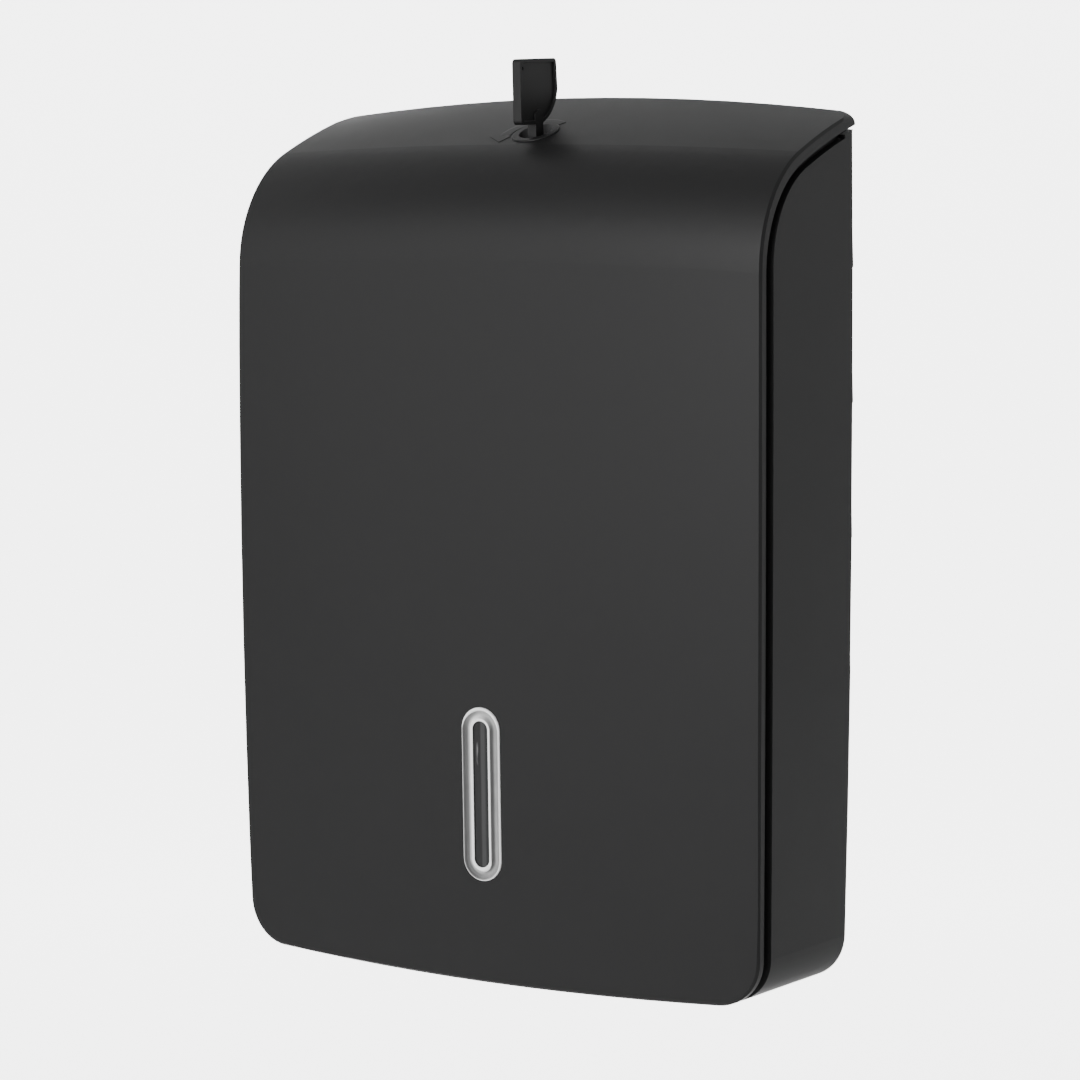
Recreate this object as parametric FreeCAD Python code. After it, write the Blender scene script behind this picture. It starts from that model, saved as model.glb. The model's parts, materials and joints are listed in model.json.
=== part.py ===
"""Wall-mounted dispenser for folded paper towels, with a lockable drop-front cover.

Millimetres, +Z up, the wall at Y = 0 and the room on the -Y side. Heights in this file are
measured from the lower corners of the cover; the finished pieces are moved at the end, so that
the row's origin is the centre of the wall-screw pattern on the back face.
"""
import FreeCAD, Part
import math
import os

os.makedirs("parts", exist_ok=True)

V = FreeCAD.Vector

# ---------------------------------------------------------------- outline seen from the front
width = 268.0                 # across the flanks, at their widest
flank_radius = 9430.0         # the flanks are very flat arcs
flank_widest_z = 212.0
corner_radius = 20.0          # lower corners
bottom_sag = 3.75             # how far the lower edge bows below its corners

# ---------------------------------------------------------------- outline seen from the side
side_depth = 78.35            # wall to the face, beside the flank
face_radius = 7040.0          # the face is a very flat arc
face_deepest_z = 261.0
shoulder_radius = 54.0
shoulder_z = 301.2            # height of the shoulder's centre, beside the flank
shoulder_end_deg = 24.0       # slope of the roof where the shoulder runs into it
roof_back_z = 367.0           # height of the roof at the wall, beside the flank

# ---------------------------------------------------------------- crown of the cover, side to centre
face_crown = 7.1
shoulder_crown = 3.5
roof_crown = 7.7
roof_corner_reach = 9.5       # the roof rounds down to the flank over this width, at the wall
roof_corner_fall = 4.8        # and over this height

# ---------------------------------------------------------------- mouldings
cover_wall = 2.5
flange_depth = 4.0            # return flange of the cover, behind its face
flange_drop = 1.0             # the flange is this much deeper under the roof
flank_edge_bevel = 1.0        # bevel round the cover's face
housing_wall = 2.5
back_wall = 3.0
groove_depth = 6.0            # shadow groove between flange and housing
groove_rise = 2.0             # the groove is this much narrower under the roof
rim_gap = 0.6                 # rim of the housing to the inside of the cover's flange
rim_front_gap = 0.8           # rim of the housing to the inside of the cover's face
rim_wall = 2.0
rim_web = 3.0                 # depth of the step that carries the rim
post_depth = 8.7              # back band of the housing, up to the cover
post_gap = 1.7                # top of that band to the edge of the flange
back_edge_radius = 2.5        # of the flanks and the lower wall
back_edge_bevel = 1.0         # of the top of the back band

# ---------------------------------------------------------------- wall fixing
wall_hole_x = 180.0           # spacing of the four wall-screw holes
wall_hole_z = 230.0
wall_pattern_z = 185.0        # height of the pattern's centre
wall_hole_radius = 2.75
wall_boss_radius = 8.0
wall_boss_height = 2.0
back_rib_height = 2.5
back_rib_wall = 2.0
back_rib_gap = 4.0            # ribs above the tray
back_rib_x = (-48.0, 0.0, 48.0)

# ---------------------------------------------------------------- hinge at the lower edge
hinge_z = 8.0
hinge_setback = 16.8          # behind the face beside the flank
hinge_pin_radius = 2.0
hinge_clearance = 0.05
hinge_inset = 20.5            # flank to the middle of each cover ear
ear_wall = 3.0
ear_arm_rise = 15.0           # height of the ear's root above the axis
ear_gap = 1.0                 # ear to each lug of the housing
ear_slot_gap = 4.5            # slot in the lower wall, behind the ear's boss
ear_boss_radius = 6.0
lug_wall = 2.2
lug_radius = 6.5
pin_head_radius = 3.4
pin_head_length = 1.2
pin_tail = 1.8
clip_wall = 0.8
clip_gap = 0.3                # lug to clip
clip_bite = 0.4               # depth of the clip's groove
clip_radius = 3.3
swing_gap = 0.9               # housing rim to the face as the cover swings

# ---------------------------------------------------------------- level window
# depths are measured inwards from the face
window_z = 78.2
bezel_width = 19.2
bezel_height = 75.0
bezel_proud = 0.7
bezel_seat = 0.6              # depth of the seat in the face
bezel_ledge = 1.4             # width of that seat
bezel_spigot_wall = 1.2
bevel = 0.4                   # bevels of the bezel's section
cove_rise = 0.15              # bottom of the cove in front of the seat
sight_width = 7.3             # clear slot inside the inner ring
sight_ring = 1.6              # width of the raised inner ring
pane_front = 1.2
pane_sight = 0.0              # face of the raised sight strip
pane_wall = 1.6
frame_margin = 6.0            # retaining frame outside the bezel
frame_seat = 3.4              # depth of the frame's front face
frame_wall = 2.0
frame_post_radius = 2.6
frame_screw_x = 12.4
frame_screw_z = 26.0
window_gap = 0.15
window_screw_radius = 1.2
window_screw_grip = 2.2

# ---------------------------------------------------------------- lock in the roof
lock_y = 41.5                 # in front of the wall
key_lean_deg = 2.5            # the lock's axis leans forward
rosette_radius = 10.5
rosette_proud = 0.6
rosette_seat = 1.0            # depth of the flat seat in the roof
barrel_radius = 8.0
barrel_gap = 0.15
barrel_length = 25.0          # below the roof at the lock's centre
dish_radius = 7.2
dish_depth = 2.6
plug_head_radius = 6.2
plug_head_length = 3.0
plug_radius = 5.2
plug_gap = 0.05
plug_stand = 0.2              # plug above the floor of the dish
boss_radius = 11.5
boss_length = 15.0            # of the sleeve under the roof
nut_across = 24.0
nut_height = 4.0
cam_wall = 2.0
cam_width = 8.0
cam_hub_radius = 6.0
cam_reach = 20.5              # axis to the back of the hook
cam_hook_wall = 3.0
cam_hook_height = 4.4
tang_size = 5.0
tang_gap = 0.1
cam_screw_radius = 1.5
cam_screw_length = 9.0
washer_wall = 0.8
washer_radius = 4.2

# ---------------------------------------------------------------- key
key_wall = 4.2
key_width = 28.5
key_height = 27.9
key_front = 13.9              # stem axis to the front edge of the bow
key_stem_depth = 5.8          # front to back
key_stem_gap = 0.15
key_stem_in_plug = 13.0
key_bow_base = 3.6            # underside of the bow above the roof at the lock
key_back_taper = 0.6          # the bow is this much narrower at the top
key_heel_height = 15.0        # underside of the bow to the top of the heel
key_heel_radius = 18.3        # big round from the back of the bow to the stem
key_heel_kink = 2.9           # centre of that round above the top of the heel
key_corner_radius = 2.0
key_panel_depth = 0.8
key_panel_rim = 1.6
key_dome_height = 3.5         # straight part of the stem's root on the bow
key_hole_radius = 0.8
key_hole_inset = 2.9

# ---------------------------------------------------------------- keeper and header
header_setback = 0.5          # front edge of the header behind the keeper's lip
header_wall = 3.0
gusset_x = 70.0
gusset_drop = 18.0
keeper_wall = 1.5
keeper_width = 22.0
keeper_lip_width = 8.0
keeper_hook_gap = 1.0         # lip to the cam's hook
cam_under_lip = 0.7
hook_under_keeper = 1.0
keeper_back_gap = 3.5
keeper_screw_radius = 1.5
keeper_screw_x = 7.0
keeper_screw_y = -11.0
keeper_screw_tail = 1.0

# ---------------------------------------------------------------- towel tray and guides
outlet_hinge_gap = 21.5       # middle of the cover ear to the opening in the lower wall
outlet_front_gap = 5.0        # from the front of the lower wall to the opening
outlet_back_y = 12.0
outlet_corner = 6.0
tray_side_overlap = 12.0      # tray beside the opening
tray_wall = 2.5
tray_floor_z = 6.0            # underside of the tray
tray_front_overlap = 2.5      # tray in front of the opening
tray_back_y = 5.0
tray_edge_height = 8.0
tray_corner = 5.0
collar_wall = 1.8
collar_drop = 1.5             # collar below the corner level
collar_lip = 2.0              # collar above the tray's floor
slot_end_gap = 6.2            # collar of the towel slot to the end of the opening
slot_half_width = 9.0
slot_middle_radius = 20.0
tray_screw_radius = 1.5
tray_boss_radius = 4.0
tray_boss_inset = 9.0
tray_screw_grip = 5.0
guide_side_gap = 12.0         # inside of the flank to the inner face of each towel guide
guide_wall = 1.8
guide_depth = 48.0
guide_foot = 7.0
guide_lip = 3.5
guide_low_z = 22.0
guide_length = 292.0
guide_rib_count = 4
guide_screw_radius = 1.5
guide_screw_grip = 2.2
screw_head_ratio = 1.9        # head radius over shank radius
screw_fit = 0.05

FAR = 40.0                    # how far cutters run past the part
wall_overrun = 0.05           # how far a bevelled back runs past the wall plane before it is trimmed
round_overrun = 0.03          # how far the roof's corner curve starts outside the roof and the flank
round_pull = 0.55             # pull of that curve's inner poles


hinge_x = width / 2.0 - hinge_inset
outlet_half_width = hinge_x - outlet_hinge_gap
tray_half_width = outlet_half_width + tray_side_overlap
tray_boss_x = outlet_half_width + tray_side_overlap / 2.0
slot_half_length = outlet_half_width - collar_wall - slot_end_gap
guide_x = width / 2.0 - housing_wall - guide_side_gap


# ================================================================= plain solids
def box(x0, x1, y0, y1, z0, z1):
    return Part.makeBox(x1 - x0, y1 - y0, z1 - z0, V(x0, y0, z0))


def cylinder(radius, length, base, axis):
    return Part.makeCylinder(radius, length, base, axis)


def fuse(pieces):
    body = pieces[0]
    for piece in pieces[1:]:
        body = body.fuse(piece)
    return body.removeSplitter()


def cut(body, tools):
    for tool in tools:
        body = body.cut(tool)
    return body


def mirrored(piece):
    """The same piece on the other side of the centre plane."""
    return piece.mirror(V(0, 0, 0), V(1, 0, 0))


def prism(points, direction):
    """Extrude the polygon through the points."""
    wire = Part.makePolygon(list(points) + [points[0]])
    return Part.Face(wire).extrude(direction)


def screw(head_seat, axis, radius, length):
    """Pan-head screw; the head sits on head_seat and the shank runs along axis."""
    head_radius = radius * screw_head_ratio
    head_height = radius * 1.1
    top = head_seat - axis * head_height
    flat = cylinder(head_radius, head_height * 0.55, head_seat - axis * head_height * 0.55, axis)
    crown = Part.makeCone(head_radius * 0.7, head_radius, head_height * 0.45, top, axis)
    shank = cylinder(radius, length, head_seat, axis)
    across = axis.cross(V(0, 0, 1) if abs(axis.z) < 0.7 else V(0, 1, 0)).normalize()
    corners = [FreeCAD.Rotation(axis, 60.0 * i).multVec(across * radius * 0.8) + top for i in range(6)]
    socket = prism(corners, axis * head_height * 0.6)
    return fuse([flat, crown, shank]).cut(socket)


# ================================================================= crowned side profile
def side_section(x):
    """Arc centres, radii and end angles of the cover's side profile at this x."""
    crown = 1.0 - (2.0 * x / width) ** 2
    depth = side_depth + face_crown * crown
    centre_z = shoulder_z + shoulder_crown * crown
    back_z = roof_back_z + roof_crown * crown
    meet = math.asin((centre_z - face_deepest_z) / (face_radius - shoulder_radius))
    face = (face_radius - depth, face_deepest_z)
    shoulder = (face[0] - (face_radius - shoulder_radius) * math.cos(meet), centre_z)
    turn = math.radians(90.0 - shoulder_end_deg)
    tangent = (shoulder[0] - shoulder_radius * math.cos(turn), shoulder[1] + shoulder_radius * math.sin(turn))
    chord = math.hypot(tangent[0], back_z - tangent[1])
    sweep = math.radians(shoulder_end_deg) - math.atan2(back_z - tangent[1], -tangent[0])
    roof_radius = chord / (2.0 * math.sin(sweep))
    roof = (tangent[0] + roof_radius * math.cos(turn), tangent[1] - roof_radius * math.sin(turn))
    return {"face": face, "meet": meet, "shoulder": shoulder, "turn": turn,
            "roof": roof, "roof_radius": roof_radius}


def profile_point(x, centre, radius, angle):
    """Point of a side arc; the angle runs from straight forward to straight up."""
    return V(x, centre[0] - radius * math.cos(angle), centre[1] + radius * math.sin(angle))


def profile_wire(x, inset, lift, back_bevel):
    """Closed section at x: the side profile, moved in by inset and up by lift, bevelled at the wall."""
    s = side_section(x)
    low = math.asin((-FAR - face_deepest_z) / face_radius)
    end_y = -back_bevel if back_bevel > 0.0 else FAR / 2.0
    back = math.acos((s["roof"][0] - end_y) / (s["roof_radius"] - inset))
    arcs = [(s["face"], face_radius - inset, low, s["meet"]),
            (s["shoulder"], shoulder_radius - inset, s["meet"], s["turn"]),
            (s["roof"], s["roof_radius"] - inset, s["turn"], back)]
    edges = []
    for centre, radius, start, end in arcs:
        points = [profile_point(x, centre, radius, a) for a in (start, (start + end) / 2.0, end)]
        edges.append(Part.Arc(*points).toShape())
    first = profile_point(x, s["face"], face_radius - inset, low)
    last = points[-1]
    if back_bevel > 0.0:
        edges.append(Part.makeLine(last, last + V(0, back_bevel + wall_overrun, -back_bevel - wall_overrun)))
        last = last + V(0, back_bevel + wall_overrun, -back_bevel - wall_overrun)
    corner = V(x, last.y, first.z)
    edges.append(Part.makeLine(last, corner))
    edges.append(Part.makeLine(corner, first))
    wire = Part.Wire(edges)
    wire.translate(V(0, 0, lift))
    return wire


def crowned_body(inset, lift=0.0, back_bevel=0.0):
    """Everything between the wall, the crowned face and the crowned roof, moved in by inset."""
    reach = width * 0.54
    wires = [profile_wire(x, inset, lift, back_bevel) for x in (-reach, 0.0, reach)]
    return Part.makeLoft(wires, True, False)


def face_y(x, z):
    """Y of the cover's face below the shoulder."""
    s = side_section(x)
    return s["face"][0] - math.sqrt(face_radius ** 2 - (z - face_deepest_z) ** 2)


def roof_z(y):
    """Height of the roof on the centre plane."""
    s = side_section(0.0)
    return s["roof"][1] + math.sqrt(s["roof_radius"] ** 2 - (y - s["roof"][0]) ** 2)


def roof_slope(y):
    """Slope of the roof on the centre plane, as an angle."""
    s = side_section(0.0)
    return math.asin((s["roof"][0] - y) / s["roof_radius"])


# ================================================================= front outline
def circle_meet(centre_a, radius_a, centre_b, radius_b):
    """Of the two points where two circles of the front view meet, the one beside the lower edge."""
    dx = centre_b[0] - centre_a[0]
    dz = centre_b[1] - centre_a[1]
    gap = math.hypot(dx, dz)
    along = (gap ** 2 + radius_a ** 2 - radius_b ** 2) / (2.0 * gap)
    across = math.sqrt(radius_a ** 2 - along ** 2)
    points = []
    for side in (-1.0, 1.0):
        x = centre_a[0] + (along * dx - side * across * dz) / gap
        z = centre_a[1] + (along * dz + side * across * dx) / gap
        points.append((x, z))
    return min(points, key=lambda p: abs(p[1]))


def outward(centre, through, radius):
    """Point at this radius from the centre, in the direction of another point."""
    share = radius / math.hypot(through[0] - centre[0], through[1] - centre[1])
    return (centre[0] + (through[0] - centre[0]) * share, centre[1] + (through[1] - centre[1]) * share)


def flank_x(z, inset=0.0):
    """Half width of the front outline at this height, moved in by inset."""
    centre = width / 2.0 - flank_radius
    return centre + math.sqrt((flank_radius - inset) ** 2 - (z - flank_widest_z) ** 2)


def outline_body(inset, y_front, y_back):
    """The front outline moved in by inset, as a body that is open upwards past the roof."""
    half = width / 2.0
    sag_radius = (half ** 2 + bottom_sag ** 2) / (2.0 * bottom_sag)
    flank = (half - flank_radius, flank_widest_z)
    floor = (0.0, sag_radius - bottom_sag)
    corner = circle_meet(flank, flank_radius - corner_radius, floor, sag_radius - corner_radius)
    round_ = corner_radius - inset
    side_point = outward(flank, corner, flank_radius - inset)
    low_point = outward(floor, corner, sag_radius - inset)
    far_x = corner[0]
    far_z = corner[0] * 0.9
    mid_point = outward((0.0, corner[1] + far_z), corner, math.hypot(far_x, far_z) + round_)
    top = roof_back_z + roof_crown + FAR
    top_x = flank_x(top, inset)
    arcs = [((top_x, top), (half - inset, flank_widest_z), side_point),
            (side_point, mid_point, low_point),
            (low_point, (0.0, inset - bottom_sag), (-low_point[0], low_point[1])),
            ((-low_point[0], low_point[1]), (-mid_point[0], mid_point[1]), (-side_point[0], side_point[1])),
            ((-side_point[0], side_point[1]), (inset - half, flank_widest_z), (-top_x, top))]
    edges = [Part.Arc(*[V(x, y_front, z) for x, z in arc]).toShape() for arc in arcs]
    edges.append(Part.makeLine(V(-top_x, y_front, top), V(top_x, y_front, top)))
    return Part.Face(Part.Wire(edges)).extrude(V(0, y_back - y_front, 0))


FRONT = -(side_depth + face_crown + FAR)      # a plane well in front of the cover
hinge_y = face_y(width / 2.0, hinge_z) + hinge_setback


def swing_trim():
    """What lies below the hinge axis and too far from it for the cover to swing past."""
    reach = hinge_setback - cover_wall - swing_gap
    half = width / 2.0
    low = box(-half, half, FRONT, hinge_y, -FAR, hinge_z)
    return low.cut(cylinder(reach, width, V(-half, hinge_y, hinge_z), V(1, 0, 0)))


# ================================================================= obround rings of the window
def obround(width_, height, thickness, depth):
    """Upright obround plate in the window's own frame; its outer face is at y = depth."""
    r = width_ / 2.0
    z = height / 2.0 - r
    right = Part.makeLine(V(r, 0, -z), V(r, 0, z))
    top = Part.Arc(V(r, 0, z), V(0, 0, z + r), V(-r, 0, z)).toShape()
    left = Part.makeLine(V(-r, 0, z), V(-r, 0, -z))
    bottom = Part.Arc(V(-r, 0, -z), V(0, 0, -z - r), V(r, 0, -z)).toShape()
    wire = Part.Wire([right, top, left, bottom])
    wire.translate(V(0, depth, 0))
    return Part.Face(wire).extrude(V(0, thickness, 0))


def obround_ring(profile):
    """Ring whose section (distance from the slot's spine, y) runs round an obround spine."""
    half_spine = (bezel_height - bezel_width) / 2.0
    section = Part.Face(Part.makePolygon([V(a, y, -half_spine) for a, y in profile + [profile[0]]]))
    straight = section.extrude(V(0, 0, 2.0 * half_spine))
    lower = section.revolve(V(0, 0, -half_spine), V(0, 1, 0), 180.0)
    if lower.BoundBox.ZMin > -half_spine - 0.5:
        lower = section.revolve(V(0, 0, -half_spine), V(0, 1, 0), -180.0)
    upper = lower.mirror(V(0, 0, 0), V(0, 0, 1))
    return fuse([straight, mirrored(straight), lower, upper])


def window_placement():
    """Window frame: origin on the face at the window's centre, leaning with the face."""
    y = face_y(0.0, window_z)
    lean = math.degrees(math.asin((window_z - face_deepest_z) / face_radius))
    return FreeCAD.Placement(V(0, y, window_z), FreeCAD.Rotation(V(1, 0, 0), -lean))


def at_window(piece):
    piece.Placement = window_placement().multiply(piece.Placement)
    return piece


# ================================================================= lock frame
lock_centre = V(0, -lock_y, roof_z(-lock_y))
lean = math.radians(key_lean_deg)


def lock_placement():
    """Lock frame: origin on the roof, z along the key."""
    return FreeCAD.Placement(lock_centre, FreeCAD.Rotation(V(1, 0, 0), key_lean_deg))


def at_lock(piece):
    piece.Placement = lock_placement().multiply(piece.Placement)
    return piece


def rosette_disc(radius, low, high):
    """Disc parallel to the roof at the lock, in the lock's frame, between two heights."""
    tilt = math.degrees(roof_slope(-lock_y)) - key_lean_deg
    disc = cylinder(radius, high - low, V(0, 0, low), V(0, 0, 1))
    disc.rotate(V(0, 0, 0), V(1, 0, 0), tilt)
    return disc


boss_low = -boss_length
barrel_low = -barrel_length
plug_top = plug_stand - dish_depth      # face of the plug, just above the floor of the dish


# ================================================================= front cover
def cover_ear():
    """Hinge ear behind the face, on the right: a round boss on an arm that runs into the face."""
    x = hinge_x - ear_wall / 2.0
    front = FRONT + FAR / 2.0
    low = hinge_z - ear_boss_radius
    boss = cylinder(ear_boss_radius, ear_wall, V(x, hinge_y, hinge_z), V(1, 0, 0))
    arm = prism([V(x, hinge_y, hinge_z + ear_boss_radius), V(x, hinge_y, low), V(x, front, low),
                 V(x, front, hinge_z + ear_arm_rise), V(x, face_y(hinge_x, 0.0), hinge_z + ear_arm_rise)],
                V(ear_wall, 0, 0))
    return fuse([boss, arm]).common(crowned_body(cover_wall / 2.0))


def face_edges(envelope):
    """Edges between the crowned surface and the flanks, corners and lower edge of the envelope."""
    edges = []
    for edge in envelope.Edges:
        middle = edge.valueAt((edge.FirstParameter + edge.LastParameter) / 2.0)
        on_back = abs(middle.y) < 0.01
        ends = [v.Point for v in edge.Vertexes]
        runs_back = abs(ends[0].x - ends[-1].x) < 0.01 and abs(ends[0].z - ends[-1].z) < 0.01
        crosses = abs(ends[0].x + ends[-1].x) < 0.01 and middle.z > corner_radius
        if not (on_back or runs_back or crosses):
            edges.append(edge)
    return edges


def roof_corner():
    """What is cut away on the right, so that the roof rounds down to the flank beside the wall."""
    half = width / 2.0
    start_x = half - roof_corner_reach
    start = V(start_x, FRONT, roof_back_z + roof_crown * (1.0 - (start_x / half) ** 2) + round_overrun)
    fall = 2.0 * roof_crown * start_x / half ** 2 + round_overrun
    end_z = roof_back_z - roof_corner_fall
    end = V(flank_x(end_z) + round_overrun, FRONT, end_z)
    first = start + V(1.0, 0, -fall) * (roof_corner_reach * round_pull)
    last = end + V(-round_overrun, 0, 1.0) * (roof_corner_fall * round_pull)
    curve = Part.BezierCurve()
    curve.setPoles([start, first, last, end])
    corners = [end, V(half + FAR, FRONT, end_z), V(half + FAR, FRONT, roof_back_z + FAR),
               V(start_x, FRONT, roof_back_z + FAR), start]
    edges = [curve.toShape()] + [Part.makeLine(a, b) for a, b in zip(corners, corners[1:])]
    return Part.Face(Part.Wire(edges)).extrude(V(0, FAR - FRONT, 0))


def cover_shell():
    """Crowned face and roof with their flange; the roof also turns down along the wall."""
    envelope = crowned_body(0.0).common(outline_body(0.0, FRONT, 0.0))
    bevelled = envelope.makeChamfer(flank_edge_bevel, face_edges(envelope))
    hollow = crowned_body(cover_wall).common(outline_body(cover_wall, FRONT, -cover_wall))
    inside = crowned_body(flange_depth, -flange_drop)
    corner = roof_corner()
    return cut(bevelled, [hollow, inside, corner, mirrored(corner)])


def window_posts():
    """Screw pads round the window, on the back of the face."""
    posts = []
    for x in (-frame_screw_x, frame_screw_x):
        for z in (-frame_screw_z, frame_screw_z):
            root = V(x, cover_wall / 2.0, z)
            post = cylinder(frame_post_radius, frame_seat - cover_wall / 2.0, root, V(0, 1, 0))
            posts.append(at_window(post))
    return posts


def front_cover():
    sleeve = cylinder(boss_radius, boss_length + FAR / 2.0, V(0, 0, boss_low), V(0, 0, 1))
    sleeve = at_lock(sleeve).common(crowned_body(cover_wall / 2.0))
    ear = cover_ear()
    shell = fuse([cover_shell(), sleeve, ear, mirrored(ear)] + window_posts())
    opening = obround(bezel_width - 2.0 * bezel_ledge, bezel_height - 2.0 * bezel_ledge, FAR, -FAR / 2.0)
    seat = obround(bezel_width + 2.0 * window_gap, bezel_height + 2.0 * window_gap, FAR, bezel_seat - FAR)
    tools = [at_window(opening), at_window(seat)]
    for x in (-frame_screw_x, frame_screw_x):
        for z in (-frame_screw_z, frame_screw_z):
            end = V(x, frame_seat - window_screw_grip, z)
            tools.append(at_window(cylinder(window_screw_radius + screw_fit, FAR, end, V(0, 1, 0))))
    tools.append(at_lock(cylinder(barrel_radius + barrel_gap, FAR * 2.0, V(0, 0, -FAR), V(0, 0, 1))))
    tools.append(at_lock(rosette_disc(rosette_radius + barrel_gap, -rosette_seat, FAR / 2.0)))
    bore = cylinder(hinge_pin_radius + hinge_clearance, width, V(-width / 2.0, hinge_y, hinge_z), V(1, 0, 0))
    tools.append(bore)
    return cut(shell, tools)


# ================================================================= level window
def window_bezel():
    """Bright ring: outer rim, cove and raised inner ring, with a spigot through the face."""
    rim = bezel_width / 2.0
    sight = sight_width / 2.0
    ring = sight + sight_ring
    spigot = rim - bezel_ledge - window_gap
    front = -bezel_proud
    floor = bezel_seat - cove_rise
    return at_window(obround_ring([
        (rim, bezel_seat), (rim, front + bevel), (rim - bevel, front), (rim - 2.5 * bevel, front),
        (rim - 3.5 * bevel, floor - bevel), (rim - 5.0 * bevel, floor), (ring + 2.5 * bevel, floor),
        (ring + bevel, floor - bevel), (ring, front + bevel / 2.0), (ring - bevel / 2.0, front + bevel / 4.0),
        (sight + bevel / 2.0, front + bevel / 4.0), (sight, front + bevel), (sight, pane_front),
        (spigot - bezel_spigot_wall, pane_front), (spigot - bezel_spigot_wall, frame_seat),
        (spigot, frame_seat), (spigot, bezel_seat)]))


def window_pane():
    """Clear pane behind the ring, with a raised sight strip that fills the slot."""
    inner = bezel_width - 2.0 * (bezel_ledge + bezel_spigot_wall + 2.0 * window_gap)
    plate = obround(inner, inner + bezel_height - bezel_width, pane_wall, pane_front)
    strip_width = sight_width - window_gap
    strip_depth = pane_front + pane_wall / 2.0 - pane_sight
    strip = obround(strip_width, strip_width + bezel_height - bezel_width, strip_depth, pane_sight)
    return at_window(fuse([plate, strip]))


def window_frame():
    """Frame behind the face that presses the pane into the bezel."""
    half_x = bezel_width / 2.0 + frame_margin
    half_z = bezel_height / 2.0 + frame_margin
    plate = box(-half_x, half_x, frame_seat, frame_seat + frame_wall, -half_z, half_z)
    corners = [e for e in plate.Edges if abs(e.Length - frame_wall) < 0.01]
    plate = plate.makeFillet(frame_margin, corners)
    inner = bezel_width - 2.0 * (bezel_ledge + bezel_spigot_wall + 2.0 * window_gap)
    tongue = obround(inner, inner + bezel_height - bezel_width, frame_wall, pane_front + pane_wall)
    sight = sight_width + 2.0 * sight_ring
    hole = obround(sight, sight + bezel_height - bezel_width, FAR, -FAR / 2.0)
    frame = fuse([plate, tongue]).cut(hole)
    for x in (-frame_screw_x, frame_screw_x):
        for z in (-frame_screw_z, frame_screw_z):
            frame = frame.cut(cylinder(window_screw_radius + screw_fit, FAR, V(x, 0, z), V(0, 1, 0)))
    return at_window(frame)


def window_screws():
    screws = []
    for x in (-frame_screw_x, frame_screw_x):
        for z in (-frame_screw_z, frame_screw_z):
            head = V(x, frame_seat + frame_wall, z)
            length = frame_wall + window_screw_grip - screw_fit
            screws.append(at_window(screw(head, V(0, -1, 0), window_screw_radius, length)))
    return Part.makeCompound(screws)


# ================================================================= lock
def lock_body():
    """Rosette lying on the roof, with a dish, and the barrel that holds the plug."""
    rosette = rosette_disc(rosette_radius, -rosette_seat, rosette_proud)
    rim = [e for e in rosette.Edges if e.Closed and top_of(e, rosette)]
    rosette = rosette.makeChamfer(rosette_proud * 0.5, rim)
    barrel = cylinder(barrel_radius, barrel_length + FAR / 4.0, V(0, 0, barrel_low), V(0, 0, 1))
    barrel = barrel.common(rosette_disc(FAR, -2.0 * FAR, 0.0))
    dish = cylinder(dish_radius, FAR, V(0, 0, -dish_depth), V(0, 0, 1))
    head = cylinder(plug_head_radius + plug_gap, FAR, V(0, 0, plug_top - plug_head_length), V(0, 0, 1))
    bore = cylinder(plug_radius + plug_gap, FAR * 2.0, V(0, 0, -FAR), V(0, 0, 1))
    return at_lock(cut(fuse([rosette, barrel]), [dish, head, bore]))


def top_of(edge, solid):
    """True for the upper rim of a disc."""
    return edge.BoundBox.ZMax > solid.BoundBox.ZMax - 0.01


def lock_nut():
    """Hexagonal nut under the cover's sleeve."""
    corner = nut_across / math.sqrt(3.0)
    turns = [math.radians(60 * i) for i in range(6)]
    points = [V(corner * math.cos(a), corner * math.sin(a), boss_low - nut_height) for a in turns]
    nut = prism(points, V(0, 0, nut_height))
    return at_lock(nut.cut(cylinder(barrel_radius + plug_gap, FAR, V(0, 0, -FAR), V(0, 0, 1))))


def lock_plug():
    """Turning plug with the key's slot on top and a square tang below."""
    head = cylinder(plug_head_radius, plug_head_length, V(0, 0, plug_top - plug_head_length), V(0, 0, 1))
    head = head.makeChamfer(plug_head_length * 0.12, [e for e in head.Edges if e.Closed and top_of(e, head)])
    shaft = cylinder(plug_radius, barrel_length + plug_top - plug_gap, V(0, 0, barrel_low), V(0, 0, 1))
    half = tang_size / 2.0
    tang = box(-half, half, -half, half, barrel_low - cam_wall, barrel_low + 1.0)
    slot_x = key_wall / 2.0 + key_stem_gap
    slot_y = key_stem_depth / 2.0 + key_stem_gap
    slot = box(-slot_x, slot_x, -slot_y, slot_y, plug_top - key_stem_in_plug, FAR)
    thread_low = plug_top - key_stem_in_plug - 2.0 - FAR
    thread = cylinder(cam_screw_radius + screw_fit, FAR, V(0, 0, thread_low), V(0, 0, 1))
    return at_lock(fuse([head, shaft, tang]).cut(slot).cut(thread))


def lock_cam():
    """Cam with an upturned hook; unlocked it points to the left, locked it points to the wall."""
    low = barrel_low - cam_wall - plug_gap
    hub = cylinder(cam_hub_radius, cam_wall, V(0, 0, low), V(0, 0, 1))
    arm = box(-cam_reach, 0.0, -cam_width / 2.0, cam_width / 2.0, low, low + cam_wall)
    hook = box(-cam_reach, cam_hook_wall - cam_reach, -cam_width / 2.0, cam_width / 2.0, low,
               low + cam_wall + cam_hook_height)
    swept = cylinder(cam_reach, FAR, V(0, 0, low - 1.0), V(0, 0, 1))
    half = tang_size / 2.0 + tang_gap
    square = box(-half, half, -half, half, low - 1.0, low + cam_wall + 1.0)
    return at_lock(fuse([hub, arm, hook]).common(swept).cut(square))


def cam_washer():
    low = barrel_low - cam_wall - plug_gap - washer_wall
    ring = cylinder(washer_radius, washer_wall, V(0, 0, low), V(0, 0, 1))
    return at_lock(ring.cut(cylinder(cam_screw_radius + screw_fit, FAR, V(0, 0, low - 1.0), V(0, 0, 1))))


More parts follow.
